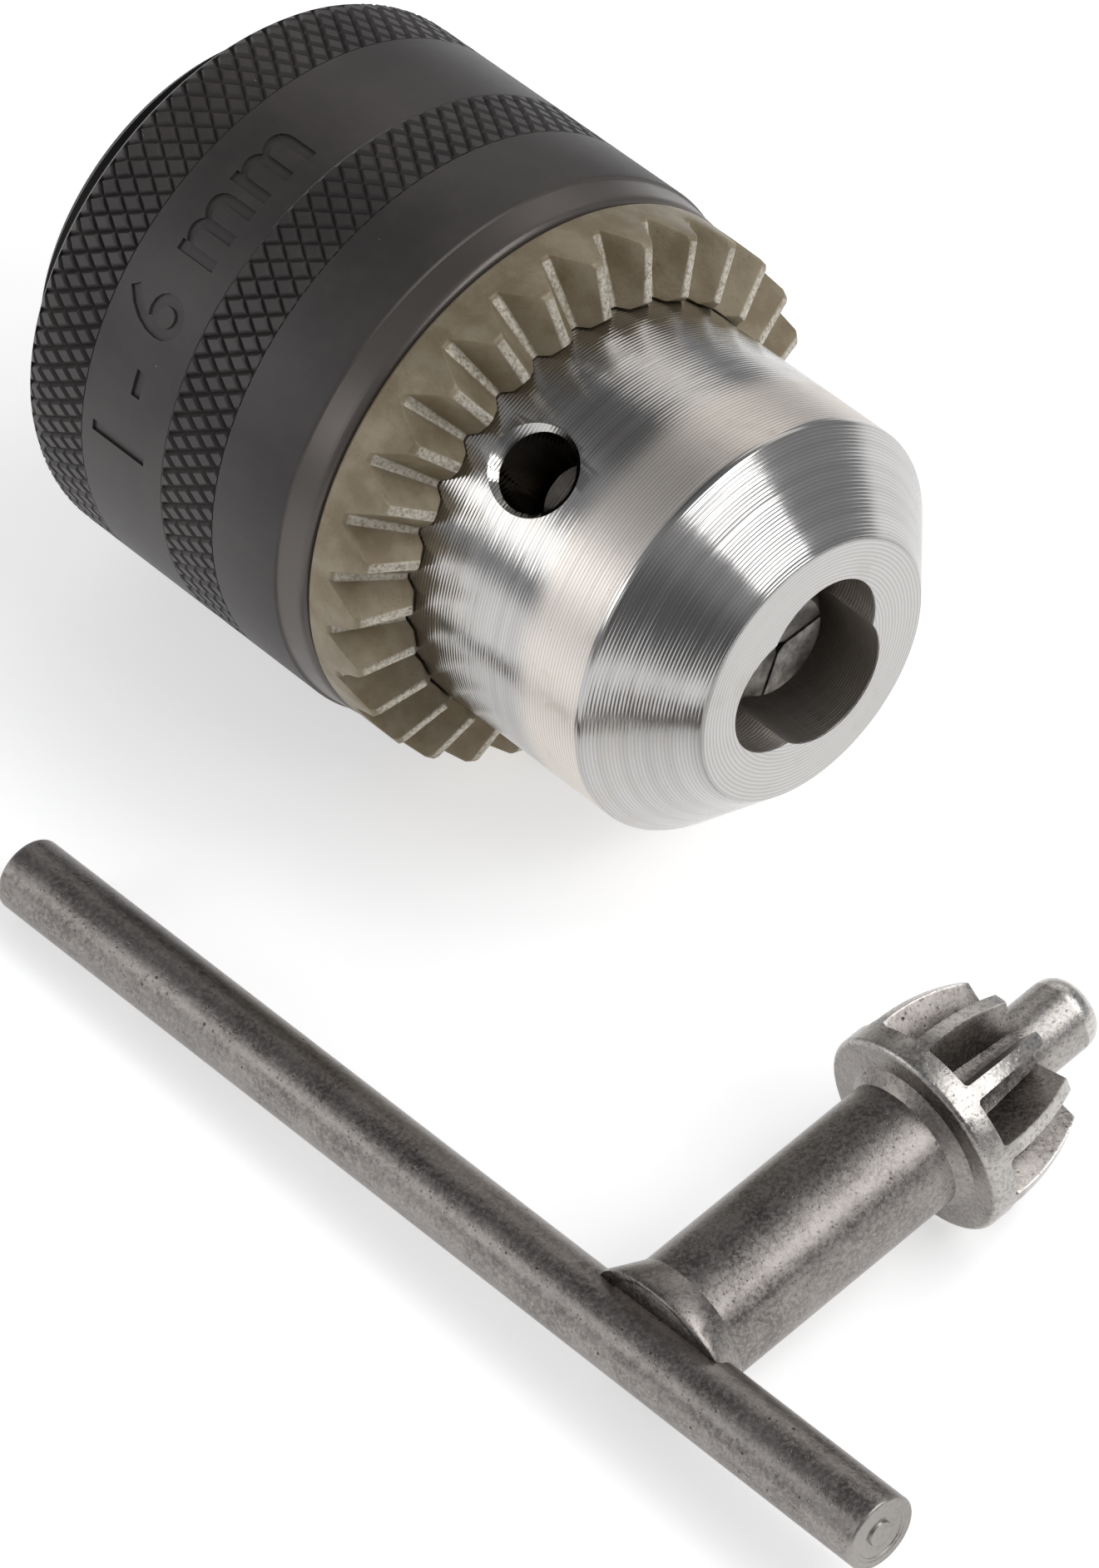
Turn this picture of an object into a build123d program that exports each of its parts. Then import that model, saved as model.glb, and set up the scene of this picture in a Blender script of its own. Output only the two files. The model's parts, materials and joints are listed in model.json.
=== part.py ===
from build123d import *
import math
import os

# A keyed drill chuck lying on its side on a bench, with its key beside it.
# The origin is the centre of the body's back face. The chuck's axis runs along +X to the nose, and +Z is up.
# All sizes are in millimetres and all angles in degrees.

# Chuck body
body_length = 43.2
nose_radius = 11.24
face_radius = 7.15
nose_edge_radius = 0.3
back_radius = 12.0
back_edge = 0.6
spindle_bore_radius = 4.25
spindle_bore_depth = 10.0
spindle_mouth_chamfer = 0.4
drill_bore_radius = 3.4
drill_bore_floor = 13.0

# Jaws and the holes that they slide in
jaw_count = 3
first_jaw_azimuth = 65.2
jaw_angle = 12.0
jaw_radius = 3.4
jaw_axis_offset = 1.5
jaw_hole_clearance = 0.08
jaw_recess = 2.3
jaw_back = 18.3
jaw_back_chamfer = 0.5
jaw_tip_radius = 2.7
jaw_tip_angle = 40.0
grip_radius = 0.25
jaw_side_gap = 0.1

# Thread between nut and jaws
thread_pitch = 1.5
thread_flank_angle = 20.0
rack_depth = 0.65
rack_groove_width = 0.92
thread_side_clearance = 0.14
thread_tip_clearance = 0.15
nut_bore_clearance = 0.12

# Nut
nut_start = 16.6
nut_length = 5.4
nut_end_clearance = 0.1
nut_groove_radius = 8.3
nut_kerf = 0.3
nut_split_azimuth = 94.5

# Sleeve and its toothed ring
sleeve_radius = 15.0
sleeve_start = 2.4
sleeve_end = 23.5
sleeve_back_wall = 2.2
sleeve_wall = 1.6
sleeve_cavity_relief = 0.1
sleeve_back_edge_radius = 1.8
sleeve_lip_length = 1.6
sleeve_lip_drop = 0.35
running_clearance = 0.07
ring_teeth = 28
ring_radius = 14.6
ring_edge = 0.25
ring_crest_outer = 27.2
ring_crest_inner = 28.0
ring_crest_inner_radius = 11.8
ring_inner_bevel = 0.5
ring_root_outer = 25.0
ring_root_inner = 26.7
ring_crest_land = 0.45
ring_root_land_outer = 0.5
ring_root_land_inner = 0.3

# Key pilot holes
pilot_hole_x = 31.1
pilot_hole_radius = 2.05
pilot_hole_depth = 5.2
pilot_hole_chamfer = 0.5
drill_point_angle = 118.0
drill_web = 0.2

# Key
bar_radius = 1.95
bar_length = 59.75
bar_edge = 0.35
bar_offset = -14.55
shank_radius = 3.4
saddle_height = 0.9
flange_height = 16.9
flange_radius = 5.45
flange_rim = 1.3
flange_edge = 0.3
shank_fillet = 0.6
pinion_teeth = 10
pinion_front_height = 23.2
pinion_front_radius = 4.3
pinion_bulge = 0.35
pinion_root_back = 3.1
pinion_root_front = 2.3
pinion_gap_top_back = 2.7
pinion_gap_top_front = 2.1
pinion_gap_root_back = 0.8
pinion_gap_root_front = 0.55
pinion_gap_corner = 0.25
key_pin_radius = 1.92
key_pin_height = 27.7
key_pin_dome = 1.1
flash_reach = 1.0
flash_side_reach = 0.3
flash_edge = 0.25
flash_height = 1.7
flash_tip = 0.05
key_x = 61.5
key_y = -28.0

# How far cutting shapes pass the surfaces that they cut
overrun = 1.0
small_overrun = 0.3

MIN = (Align.CENTER, Align.CENTER, Align.MIN)

# Chuck parts are drawn with the chuck axis along their own Z, and are laid down with it along X.
lay_down = Plane(origin=(0, 0, 0), x_dir=(0, 1, 0), z_dir=(1, 0, 0))
cone_start = body_length - (nose_radius - face_radius)
nut_end = nut_start + nut_length
cavity_radius = sleeve_radius - sleeve_wall
jaw_slope = math.tan(math.radians(jaw_angle))
jaw_hole_radius = jaw_radius + jaw_hole_clearance
jaw_azimuths = [first_jaw_azimuth + 360.0 * i / jaw_count for i in range(jaw_count)]
ring_bore_radius = nose_radius + running_clearance


def turned(outline):
    """A solid of revolution about Z from (radius, height) points."""
    points = [(radius, 0, height) for radius, height in outline]
    return revolve(make_face(Polyline(*points, close=True)), Axis.Z)


def rod(radius, low, high):
    """A round bar about Z between two heights."""
    return Pos(0, 0, low) * Cylinder(radius, high - low, align=MIN)


def spun(shape, azimuth):
    return Rot(0, 0, azimuth) * shape


def jaw_axis_radius(height):
    """How far a jaw's axis is from the chuck axis."""
    return jaw_axis_offset + (body_length - height) * jaw_slope


def jaw_outer_radius(height):
    """How far a jaw's outer line is from the chuck axis, where the rack is cut."""
    return jaw_axis_radius(height) + jaw_radius / math.cos(math.radians(jaw_angle))


def along_jaw(shape):
    """Places a shape drawn about Z on the jaw axis at azimuth 0, with its zero level with the front face."""
    return Pos(jaw_axis_offset, 0, body_length) * Rot(0, -jaw_angle, 0) * shape


def jaw_hole():
    cut = jaw_hole_radius * jaw_slope
    return along_jaw(rod(jaw_hole_radius, -body_length - cut, jaw_hole_radius))


def pilot_hole():
    """A blind radial hole with a drill point and a chamfered mouth, at azimuth 0."""
    point = (pilot_hole_radius - drill_web) / math.tan(math.radians(drill_point_angle / 2))
    floor = nose_radius - pilot_hole_depth
    mouth_radius = pilot_hole_radius + pilot_hole_chamfer + overrun
    outline = [(0, floor - point), (drill_web, floor - point), (pilot_hole_radius, floor)]
    outline += [(pilot_hole_radius, nose_radius - pilot_hole_chamfer)]
    outline += [(mouth_radius, nose_radius + overrun), (0, nose_radius + overrun)]
    return Pos(0, 0, pilot_hole_x) * Rot(0, 90, 0) * turned(outline)


def body():
    groove_back = nut_start - nut_end_clearance
    groove_front = nut_end + nut_end_clearance
    outline = [(0, 0), (back_radius - back_edge, 0), (back_radius, back_edge)]
    outline += [(back_radius, groove_back), (nut_groove_radius, groove_back)]
    outline += [(nut_groove_radius, groove_front), (nose_radius, groove_front)]
    outline += [(nose_radius, cone_start), (face_radius, body_length), (0, body_length)]
    solid = turned(outline)
    edges = solid.edges().filter_by(GeomType.CIRCLE).group_by(Axis.Z)
    solid = fillet([edges[-1][0], edges[-2][0]], nose_edge_radius)
    mouth = spindle_bore_radius + spindle_mouth_chamfer
    bore = [(0, 0), (mouth, 0), (spindle_bore_radius, spindle_mouth_chamfer)]
    bore += [(spindle_bore_radius, spindle_bore_depth), (0, spindle_bore_depth)]
    solid -= turned(bore)
    solid -= spun(rod(drill_bore_radius, drill_bore_floor, body_length + overrun), first_jaw_azimuth)
    for azimuth in jaw_azimuths:
        solid -= spun(jaw_hole(), azimuth)
        solid -= spun(pilot_hole(), azimuth + 180.0 / jaw_count)
    return solid


def thread_height(azimuth):
    """Height of the first thread turn's middle at an azimuth."""
    return nut_start + thread_pitch * azimuth / 360.0


def rack_cutter(height):
    """A ring that cuts one rack groove, with the nut's own curve and lead, at azimuth 0."""
    middle = nut_start + nut_length / 2
    surface = jaw_outer_radius(middle)
    slope = math.tan(math.radians(thread_flank_angle))
    floor = rack_groove_width / 2 - rack_depth * slope
    top = rack_groove_width / 2 + overrun * slope
    outline = [(surface - rack_depth, -floor), (surface + overrun, -top)]
    outline += [(surface + overrun, top), (surface - rack_depth, floor)]
    lead_angle = math.degrees(math.atan(thread_pitch / (2 * math.pi * surface)))
    ring = Rot(lead_angle, 0, 0) * turned(outline)
    return Pos((middle - height) * jaw_slope, 0, height) * ring


def jaw_envelope():
    """The round cone that all three jaw noses are ground to, about the chuck axis."""
    tip = body_length - jaw_recess
    reach = jaw_outer_radius(0.0)
    back = tip - (reach - jaw_tip_radius) / math.tan(math.radians(jaw_tip_angle))
    return turned([(0, 0), (reach, 0), (reach, back), (jaw_tip_radius, tip), (0, tip)])


def jaw_wedge():
    """The sector between the two gripping flats, at azimuth 0."""
    slope = math.tan(math.radians(180.0 / jaw_count))
    shift = jaw_side_gap / math.cos(math.radians(180.0 / jaw_count))
    reach = body_length
    near = (grip_radius, grip_radius * slope - shift)
    far = (reach, reach * slope - shift)
    corners = [near, far, (far[0], -far[1]), (near[0], -near[1])]
    return extrude(make_face(Polyline(*corners, close=True)), body_length)


def jaw(azimuth):
    back = (jaw_back - body_length) / math.cos(math.radians(jaw_angle))
    blank = rod(jaw_radius, back, 0)
    blank = chamfer(blank.edges().sort_by(Axis.Z)[0], jaw_back_chamfer)
    solid = along_jaw(blank) & jaw_envelope()
    solid = solid & jaw_wedge()
    phase = thread_height(azimuth) % thread_pitch
    first = math.ceil((jaw_back - phase) / thread_pitch)
    rack_end = body_length - jaw_recess - thread_pitch
    last = math.floor((rack_end - phase) / thread_pitch)
    for turn in range(first, last + 1):
        solid -= rack_cutter(phase + turn * thread_pitch)
    return spun(solid, azimuth)


def thread_ridge():
    """The nut's inside thread: a ridge on a helix that narrows with the jaws."""
    slope = math.tan(math.radians(thread_flank_angle))
    start = nut_start - thread_pitch
    height = nut_length + 2 * thread_pitch
    root = jaw_outer_radius(start) + nut_bore_clearance
    along_slope = thread_pitch / math.cos(math.radians(jaw_angle))
    path = Helix(along_slope, height, root, center=(0, 0, start), cone_angle=-jaw_angle)
    depth = nut_bore_clearance + rack_depth - thread_tip_clearance
    base = rack_groove_width / 2 - thread_side_clearance + (nut_bore_clearance + small_overrun) * slope
    tip = base - (depth + small_overrun) * slope
    corners = [(small_overrun, -base), (small_overrun, base), (-depth, tip), (-depth, -tip)]
    section = Plane(origin=path @ 0, x_dir=(1, 0, 0), z_dir=path % 0) * make_face(Polyline(*corners, close=True))
    return sweep(section, path=path, is_frenet=True)


def nut():
    inner_back = jaw_outer_radius(nut_start) + nut_bore_clearance
    inner_front = jaw_outer_radius(nut_end) + nut_bore_clearance
    outline = [(inner_back, nut_start), (cavity_radius, nut_start), (cavity_radius, nut_end), (inner_front, nut_end)]
    slab = rod(cavity_radius, nut_start, nut_end)
    return turned(outline) + (thread_ridge() & slab)


def nut_half(whole, side):
    """One half of the nut, on the +1 or -1 side of the saw cut."""
    reach = 2 * cavity_radius
    middle = nut_start + nut_length / 2
    box = Pos(0, side * (reach + nut_kerf) / 2, middle) * Box(2 * reach, reach, 2 * nut_length)
    return whole & spun(box, nut_split_azimuth)


def sleeve_shell():
    lip_start = sleeve_end - sleeve_lip_length
    lip_radius = sleeve_radius - sleeve_lip_drop
    back_bore = back_radius + running_clearance
    cavity_start = sleeve_start + sleeve_back_wall
    relief = cavity_radius + sleeve_cavity_relief
    outline = [(back_bore, sleeve_start), (sleeve_radius, sleeve_start), (sleeve_radius, lip_start)]
    outline += [(lip_radius, sleeve_end), (cavity_radius, sleeve_end), (cavity_radius, nut_start)]
    outline += [(relief, nut_start - sleeve_cavity_relief), (relief, cavity_start), (back_bore, cavity_start)]
    solid = turned(outline)
    back_edge_circle = solid.edges().filter_by(GeomType.CIRCLE).group_by(Axis.Z)[0].sort_by(SortBy.RADIUS)[-1]
    return fillet(back_edge_circle, sleeve_back_edge_radius)


def ring_groove():
    """One tooth gap of the ring, cut along azimuth 0 from inside to outside."""
    span = ring_radius - ring_crest_inner_radius

    def between(radius, inner, outer):
        return inner + (outer - inner) * (radius - ring_crest_inner_radius) / span

    def section(radius):
        pitch = 2 * math.pi * radius / ring_teeth
        root = between(radius, ring_root_inner, ring_root_outer)
        crest = between(radius, ring_crest_inner, ring_crest_outer)
        floor = between(radius, ring_root_land_inner, ring_root_land_outer) / 2
        top = (pitch - ring_crest_land) / 2
        reach = top + (top - floor) * overrun / (crest - root)
        corners = [(radius, -floor, root), (radius, floor, root)]
        corners += [(radius, reach, crest + overrun), (radius, -reach, crest + overrun)]
        return make_face(Polyline(*corners, close=True))

    return loft([section(ring_bore_radius - small_overrun), section(ring_radius + small_overrun)], ruled=True)


def gear_ring():
    outline = [(ring_bore_radius, nut_end), (cavity_radius, nut_end), (cavity_radius, sleeve_end)]
    outline += [(ring_radius - ring_edge, sleeve_end), (ring_radius, sleeve_end + ring_edge)]
    outline += [(ring_radius, ring_crest_outer - ring_edge), (ring_radius - ring_edge, ring_crest_outer)]
    outline += [(ring_crest_inner_radius, ring_crest_inner)]
    outline += [(ring_bore_radius, ring_crest_inner - ring_inner_bevel)]
    solid = turned(outline)
    groove = ring_groove()
    return solid - [spun(groove, 360.0 * i / ring_teeth) for i in range(ring_teeth)]


def key_place():
    """Lays the key on the bench. It rests on the flange's rim, on the foot of its shank and on the bar's long end.

    Key parts are drawn with the bar along their own X and the shank rising along Z from the bar's axis.
    """
    rim_height = flange_height + flange_edge
    foot_radius = shank_radius + flash_side_reach
    tilt = math.atan((flange_radius - foot_radius) / (rim_height - saddle_height))
    height = flange_radius * math.cos(tilt) - rim_height * math.sin(tilt)
    long_end = bar_length / 2 - bar_offset - bar_edge
    roll = math.asin((height - bar_radius) / (long_end * math.cos(tilt)))
    lean = Rot(math.degrees(tilt) - 90.0, 0, 0) * Rot(0, 0, -math.degrees(roll))
    return Pos(key_x, key_y, height - sleeve_radius) * lean


def pinion_gap():
    """One gap between pinion teeth, tapering to the front, with a square end at the flange, at azimuth 0."""
    back = flange_height + flange_rim
    front = pinion_front_height
    outside = flange_radius + overrun
    past_front = 1.15

    def half_width(share, radius):
        top_radius = flange_radius + (pinion_front_radius - flange_radius) * share
        root_radius = pinion_root_back + (pinion_root_front - pinion_root_back) * share
        top = pinion_gap_top_back + (pinion_gap_top_front - pinion_gap_top_back) * share
        root = pinion_gap_root_back + (pinion_gap_root_front - pinion_gap_root_back) * share
        return (root + (top - root) * (radius - root_radius) / (top_radius - root_radius)) / 2

    def section(share):
        height = back + (front - back) * share
        low = pinion_root_back + (pinion_root_front - pinion_root_back) * share - small_overrun
        corners = [(low, -half_width(share, low), height), (low, half_width(share, low), height)]
        corners += [(outside, half_width(share, outside), height), (outside, -half_width(share, outside), height)]
        return make_face(Polyline(*corners, close=True))

    gap = loft([section(0), section(past_front)], ruled=True)
    back_face = gap.faces().sort_by(Axis.Z)[0]
    corners = back_face.edges().filter_by(lambda edge: edge.length > outside / 3)
    return fillet(corners, pinion_gap_corner)


def pinion():
    """The pinion: a bulged blank with tapering gaps, and the core that stays at the gaps' floor."""
    rim_top = flange_height + flange_rim
    crest_middle = ((flange_radius + pinion_front_radius) / 2 + pinion_bulge, (rim_top + pinion_front_height) / 2)
    crest = ThreePointArc(
        (flange_radius, 0, rim_top), (crest_middle[0], 0, crest_middle[1]), (pinion_front_radius, 0, pinion_front_height)
    )
    rest = Polyline(
        (pinion_front_radius, 0, pinion_front_height),
        (0, 0, pinion_front_height),
        (0, 0, flange_height),
        (flange_radius, 0, flange_height),
        (flange_radius, 0, rim_top),
    )
    blank = revolve(make_face([crest, rest]), Axis.Z)
    blank = fillet(blank.edges().filter_by(GeomType.CIRCLE).group_by(Axis.Z)[0], flange_edge)
    gap = pinion_gap()
    toothed = blank - [spun(gap, 360.0 * i / pinion_teeth) for i in range(pinion_teeth)]
    core = [(0, flange_height), (pinion_root_back, flange_height), (pinion_root_back, rim_top)]
    core += [(pinion_root_front, pinion_front_height), (0, pinion_front_height)]
    return toothed + turned(core)


def key_shank():
    shank = rod(shank_radius, saddle_height, flange_height)
    foot = [(0, flange_height - shank_fillet), (shank_radius, flange_height - shank_fillet)]
    foot += [(shank_radius + shank_fillet, flange_height), (0, flange_height)]
    pin = rod(key_pin_radius, pinion_front_height, key_pin_height)
    pin = fillet(pin.edges().sort_by(Axis.Z)[-1], key_pin_dome)
    return shank + turned(foot) + pinion() + pin - key_bar_blank()


def key_bar_blank():
    return Pos(bar_offset, 0, 0) * Rot(0, 90, 0) * Cylinder(bar_radius, bar_length)


def key_bar():
    return fillet(key_bar_blank().edges().filter_by(GeomType.CIRCLE), bar_edge)


def key_weld_flash():
    """The flash that squeezed out between shank and bar and stands round the joint as a thin flared collar."""
    outer = Ellipse(shank_radius + flash_reach, shank_radius + flash_side_reach)
    foot = saddle_height + flash_edge
    rim = Pos(0, 0, saddle_height) * extrude(outer, flash_edge)
    flare = loft([Pos(0, 0, foot) * outer, Pos(0, 0, saddle_height + flash_height) * Circle(shank_radius + flash_tip)])
    return rim + flare - rod(shank_radius, 0, flange_height) - key_bar_blank()


whole_nut = nut()
chuck_parts = {
    "body": body(),
    "sleeve_shell": sleeve_shell(),
    "gear_ring": gear_ring(),
    "nut_half_a": nut_half(whole_nut, 1),
    "nut_half_b": nut_half(whole_nut, -1),
}
for index, azimuth in enumerate(jaw_azimuths):
    chuck_parts[f"jaw_{index + 1}"] = jaw(azimuth)
key_parts = {"key_shank": key_shank(), "key_bar": key_bar(), "key_weld_flash": key_weld_flash()}

os.makedirs("parts", exist_ok=True)
for name, part in chuck_parts.items():
    export_step(lay_down * part, f"parts/{name}.step")
place = key_place()
for name, part in key_parts.items():
    export_step(place * part, f"parts/{name}.step")
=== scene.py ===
import json
import math
import bpy
from mathutils import Matrix, Vector


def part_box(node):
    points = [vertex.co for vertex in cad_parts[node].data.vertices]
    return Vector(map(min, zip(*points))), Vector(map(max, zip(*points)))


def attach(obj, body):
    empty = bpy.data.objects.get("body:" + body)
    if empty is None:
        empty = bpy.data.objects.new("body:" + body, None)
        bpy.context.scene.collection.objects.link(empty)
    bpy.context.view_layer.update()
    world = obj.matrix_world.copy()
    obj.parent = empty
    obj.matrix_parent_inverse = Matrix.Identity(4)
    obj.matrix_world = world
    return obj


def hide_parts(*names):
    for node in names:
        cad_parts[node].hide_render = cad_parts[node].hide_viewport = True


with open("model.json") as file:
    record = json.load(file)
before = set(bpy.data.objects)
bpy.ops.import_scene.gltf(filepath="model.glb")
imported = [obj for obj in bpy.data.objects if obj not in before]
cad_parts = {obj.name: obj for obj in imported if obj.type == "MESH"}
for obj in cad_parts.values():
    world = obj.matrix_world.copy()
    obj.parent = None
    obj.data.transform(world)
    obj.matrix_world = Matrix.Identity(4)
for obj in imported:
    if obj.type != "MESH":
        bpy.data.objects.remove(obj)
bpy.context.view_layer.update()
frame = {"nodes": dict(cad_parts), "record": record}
MM = 0.001


# ---------------------------------------------------------------- The bench, the light and the view
# A pale card that glows a little near the parts. Four soft banks of light stand round it in a pale tent,
# which is darker overhead and in front, so that bright steel shows clear bands. The sleeve, the weld flash
# and the key's flange lie on the card.
VIEW_AZIMUTH, VIEW_ELEVATION, VIEW_ROLL = 49.27, 45.34, -2.46
VIEW_DISTANCE, VIEW_LENS, VIEW_SENSOR, VIEW_NEAR = 400 * MM, 191.08, 36, 10 * MM
BANK_DISTANCE = 600 * MM
AIM = Vector((33.9, -8.7, -8.2)) * MM
BENCH_LEVEL = min(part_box("sleeve_shell")[0].z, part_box("key_shank")[0].z)
CARD_SIZE, CARD_ROUGHNESS = 3.0, 0.9
CARD_WHITE, FAR_GLOW, CARD_GLOW = (0.88, 0.88, 0.88, 1), (0.25, 0.25, 0.25, 1), 0.58
GLOW_NEAR, GLOW_FAR = 0.13, 0.32
TENT_BRIGHT, TENT_DARK, TENT_STRENGTH = (0.80, 0.81, 0.84, 1), (0.34, 0.34, 0.35, 1), 0.40
OVERHEAD_GAP, FRONT_GAP = Vector((-0.54, 0.10, 0.83)), Vector((0.80, -0.59, 0.12))
OVERHEAD_GAP_COSINES, FRONT_GAP_COSINES = (0.90, 0.975), (0.84, 0.95)


def look_from(obj, azimuth, elevation, distance, roll=0.0):
    """Stands an object at an azimuth and elevation about the parts, with its -Z axis towards them."""
    turn = Matrix.Rotation(math.radians(azimuth), 3, "Z")
    turn = turn @ Matrix.Rotation(math.radians(90 - elevation), 3, "X")
    turn = turn @ Matrix.Rotation(math.radians(roll), 3, "Z")
    obj.matrix_world = Matrix.Translation(AIM + turn @ Vector((0, 0, distance))) @ turn.to_4x4()


camera_data = bpy.data.cameras.new("view")
camera_data.lens = VIEW_LENS
camera_data.sensor_width = VIEW_SENSOR
camera_data.clip_start = VIEW_NEAR
camera = bpy.data.objects.new("view", camera_data)
bpy.context.scene.collection.objects.link(camera)
look_from(camera, VIEW_AZIMUTH, VIEW_ELEVATION, VIEW_DISTANCE, VIEW_ROLL)
bpy.context.scene.camera = camera


def soft_bank(name, azimuth, elevation, width, height, power, colour=(1, 1, 1)):
    """A rectangle of soft light: angles in degrees, sizes in metres and power in watts."""
    data = bpy.data.lights.new(name, "AREA")
    data.shape = "RECTANGLE"
    data.size, data.size_y = width, height
    data.energy = power
    data.color = colour
    bank = bpy.data.objects.new(name, data)
    bpy.context.scene.collection.objects.link(bank)
    look_from(bank, azimuth, elevation, BANK_DISTANCE)


soft_bank("left_bank", -38, 24, 0.34, 0.24, 0.54)
soft_bank("back_bank", -142, 36, 0.44, 0.24, 0.26, (1.0, 0.955, 0.90))
soft_bank("right_bank", 108, 41, 0.36, 0.22, 1.0)
soft_bank("top_bank", 138, 60, 0.26, 0.13, 0.60)


class Term:
    """A number or vector in a node tree. Arithmetic on terms adds the nodes that work it out."""

    def __init__(self, nodes, node, output):
        self.nodes, self.node, self.socket = nodes, node, node.outputs[output]

    def other(self, output):
        """Another output of the same node."""
        return Term(self.nodes, self.node, output)

    def math(self, operation, first, second):
        return self.nodes.add("ShaderNodeMath", {"operation": operation}, {0: first, 1: second})

    def __add__(self, value):
        return self.math("ADD", self, value)

    def __sub__(self, value):
        return self.math("SUBTRACT", self, value)

    def __rsub__(self, value):
        return self.math("SUBTRACT", value, self)

    def __mul__(self, value):
        return self.math("MULTIPLY", self, value)

    def __truediv__(self, value):
        return self.math("DIVIDE", self, value)

    def __pow__(self, value):
        return self.math("POWER", self, value)

    __radd__ = __add__
    __rmul__ = __mul__

    def sine(self):
        return self.math("SINE", self, 0.0)

    def size(self):
        return self.math("ABSOLUTE", self, 0.0)

    def rise(self, low, high):
        """0 below low, 1 above high, and a smooth step between. It falls where high is the smaller."""
        values = {"Value": self, "From Min": low, "From Max": high}
        return self.nodes.add("ShaderNodeMapRange", {"interpolation_type": "SMOOTHSTEP"}, values)


class Nodes:
    """The node tree of a material or of the world, while it is filled in."""

    def __init__(self, owner):
        owner.use_nodes = True
        self.tree = owner.node_tree

    def add(self, kind, settings=None, values=None, output=0):
        """Adds a node with its settings, and gives its sockets numbers, colours or terms."""
        node = self.tree.nodes.new(kind)
        for setting, value in (settings or {}).items():
            setattr(node, setting, value)
        for socket, value in (values or {}).items():
            self.join(node.inputs[socket], value)
        return Term(self, node, output)

    def join(self, socket, value):
        if isinstance(value, Term):
            self.tree.links.new(value.socket, socket)
        else:
            socket.default_value = value

    def mix(self, share, first, second):
        """A colour between two others."""
        return self.add("ShaderNodeMix", {"data_type": "RGBA"}, {0: share, 6: first, 7: second}, 2)


world = bpy.data.worlds.new("light_tent")
bpy.context.scene.world = world
tent = Nodes(world)
direction = tent.add("ShaderNodeTexCoord")
tent_colour = TENT_BRIGHT
for gap, cosines in ((OVERHEAD_GAP, OVERHEAD_GAP_COSINES), (FRONT_GAP, FRONT_GAP_COSINES)):
    facing = tent.add("ShaderNodeVectorMath", {"operation": "DOT_PRODUCT"}, {0: direction, 1: gap}, "Value")
    tent_colour = tent.mix(facing.rise(*cosines), tent_colour, TENT_DARK)
background = tent.tree.nodes["Background"]
tent.join(background.inputs["Color"], tent_colour)
tent.join(background.inputs["Strength"], TENT_STRENGTH)
bpy.context.scene.view_settings.view_transform = "Standard"

bpy.ops.object.select_all(action="DESELECT")
bpy.ops.mesh.primitive_plane_add(size=CARD_SIZE, location=(AIM.x, AIM.y, BENCH_LEVEL))
bench = bpy.context.object
bench.name = "bench"
card = bpy.data.materials.new("pale_card")
bench.data.materials.append(card)
card_nodes = Nodes(card)
on_card = card_nodes.add("ShaderNodeTexCoord", output="Object")
from_parts = card_nodes.add("ShaderNodeVectorMath", {"operation": "LENGTH"}, {0: on_card}, "Value")
glow = card_nodes.mix(from_parts.rise(GLOW_NEAR, GLOW_FAR), CARD_WHITE, FAR_GLOW)
paper = card.node_tree.nodes["Principled BSDF"].inputs
card_nodes.join(paper["Emission Color"], glow)
card_nodes.join(paper["Emission Strength"], CARD_GLOW)
card_nodes.join(paper["Base Color"], CARD_WHITE)
card_nodes.join(paper["Roughness"], CARD_ROUGHNESS)


# ---------------------------------------------------------------- Sleeve
# A turned steel cup, blued black, that the hand turns. Two bands of diamond knurling are rolled into it, with
# a plain band between where the capacity is stamped. Its front edge is a rounded, glossy lip. The ring and
# the nut are pressed into it. Sizes are in millimetres, and places run from the body's back face.
SLEEVE_RADIUS = 15.0
SLEEVE_BACK, BACK_ROUNDING = 2.4, 1.8
KNURL_BANDS = ((3.1, 7.4), (13.4, 17.1))
KNURL_FLOOR, KNURL_FLOOR_AT_BACK, BAND_EDGE = 14.5, 14.2, 0.07
PLAIN_BAND = ((8.9, SLEEVE_RADIUS), (10.4, SLEEVE_RADIUS), (11.9, SLEEVE_RADIUS))
LIP_STEP = ((21.55, SLEEVE_RADIUS), (21.66, 14.97), (21.75, 14.86), (21.9, 14.84), (22.9, 14.72))
LIP_CENTRE, LIP_ROUNDING, LIP_COLOUR_START = (23.1, 14.3), 0.4, 21.6
SLEEVE_INSIDE = ((23.5, 13.4), (16.6, 13.4), (16.5, 13.5), (4.6, 13.5), (4.6, 12.07), (SLEEVE_BACK, 12.07))
KNURLS_ROUND, KNURL_LENGTH = 88, 1.72
KNURL_GROOVE, KNURL_DEPTH, KNURL_CHAMFER, KNURL_SKIN = 0.14, 0.22, 0.05, 0.45
STAMP_TEXT, STAMP_SIZE, STAMP_DEPTH, STAMP_BOLDNESS = "1 - 6 mm", 5.4, 0.14, 0.05
STAMP_MIDDLE, STAMP_AZIMUTH = 10.35, 138.0
BLACK_OXIDE, WORN_OXIDE = (0.032, 0.0275, 0.0262, 1), (0.062, 0.054, 0.050, 1)
LIP_OXIDE, DUST = (0.13, 0.115, 0.105, 1), (0.42, 0.41, 0.40, 1)
OXIDE_SPECULAR = 0.5
TURNING_STEPS = 256
MERGE, HAIR = 0.002 * MM, 0.001 * MM


def arc(x, radius, size, start, stop, count):
    """Points of a round corner in an outline, about (x, radius), from one angle to another in degrees."""
    turns = [math.radians(start + (stop - start) * i / count) for i in range(count + 1)]
    return [(x + size * math.cos(turn), radius + size * math.sin(turn)) for turn in turns]


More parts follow.
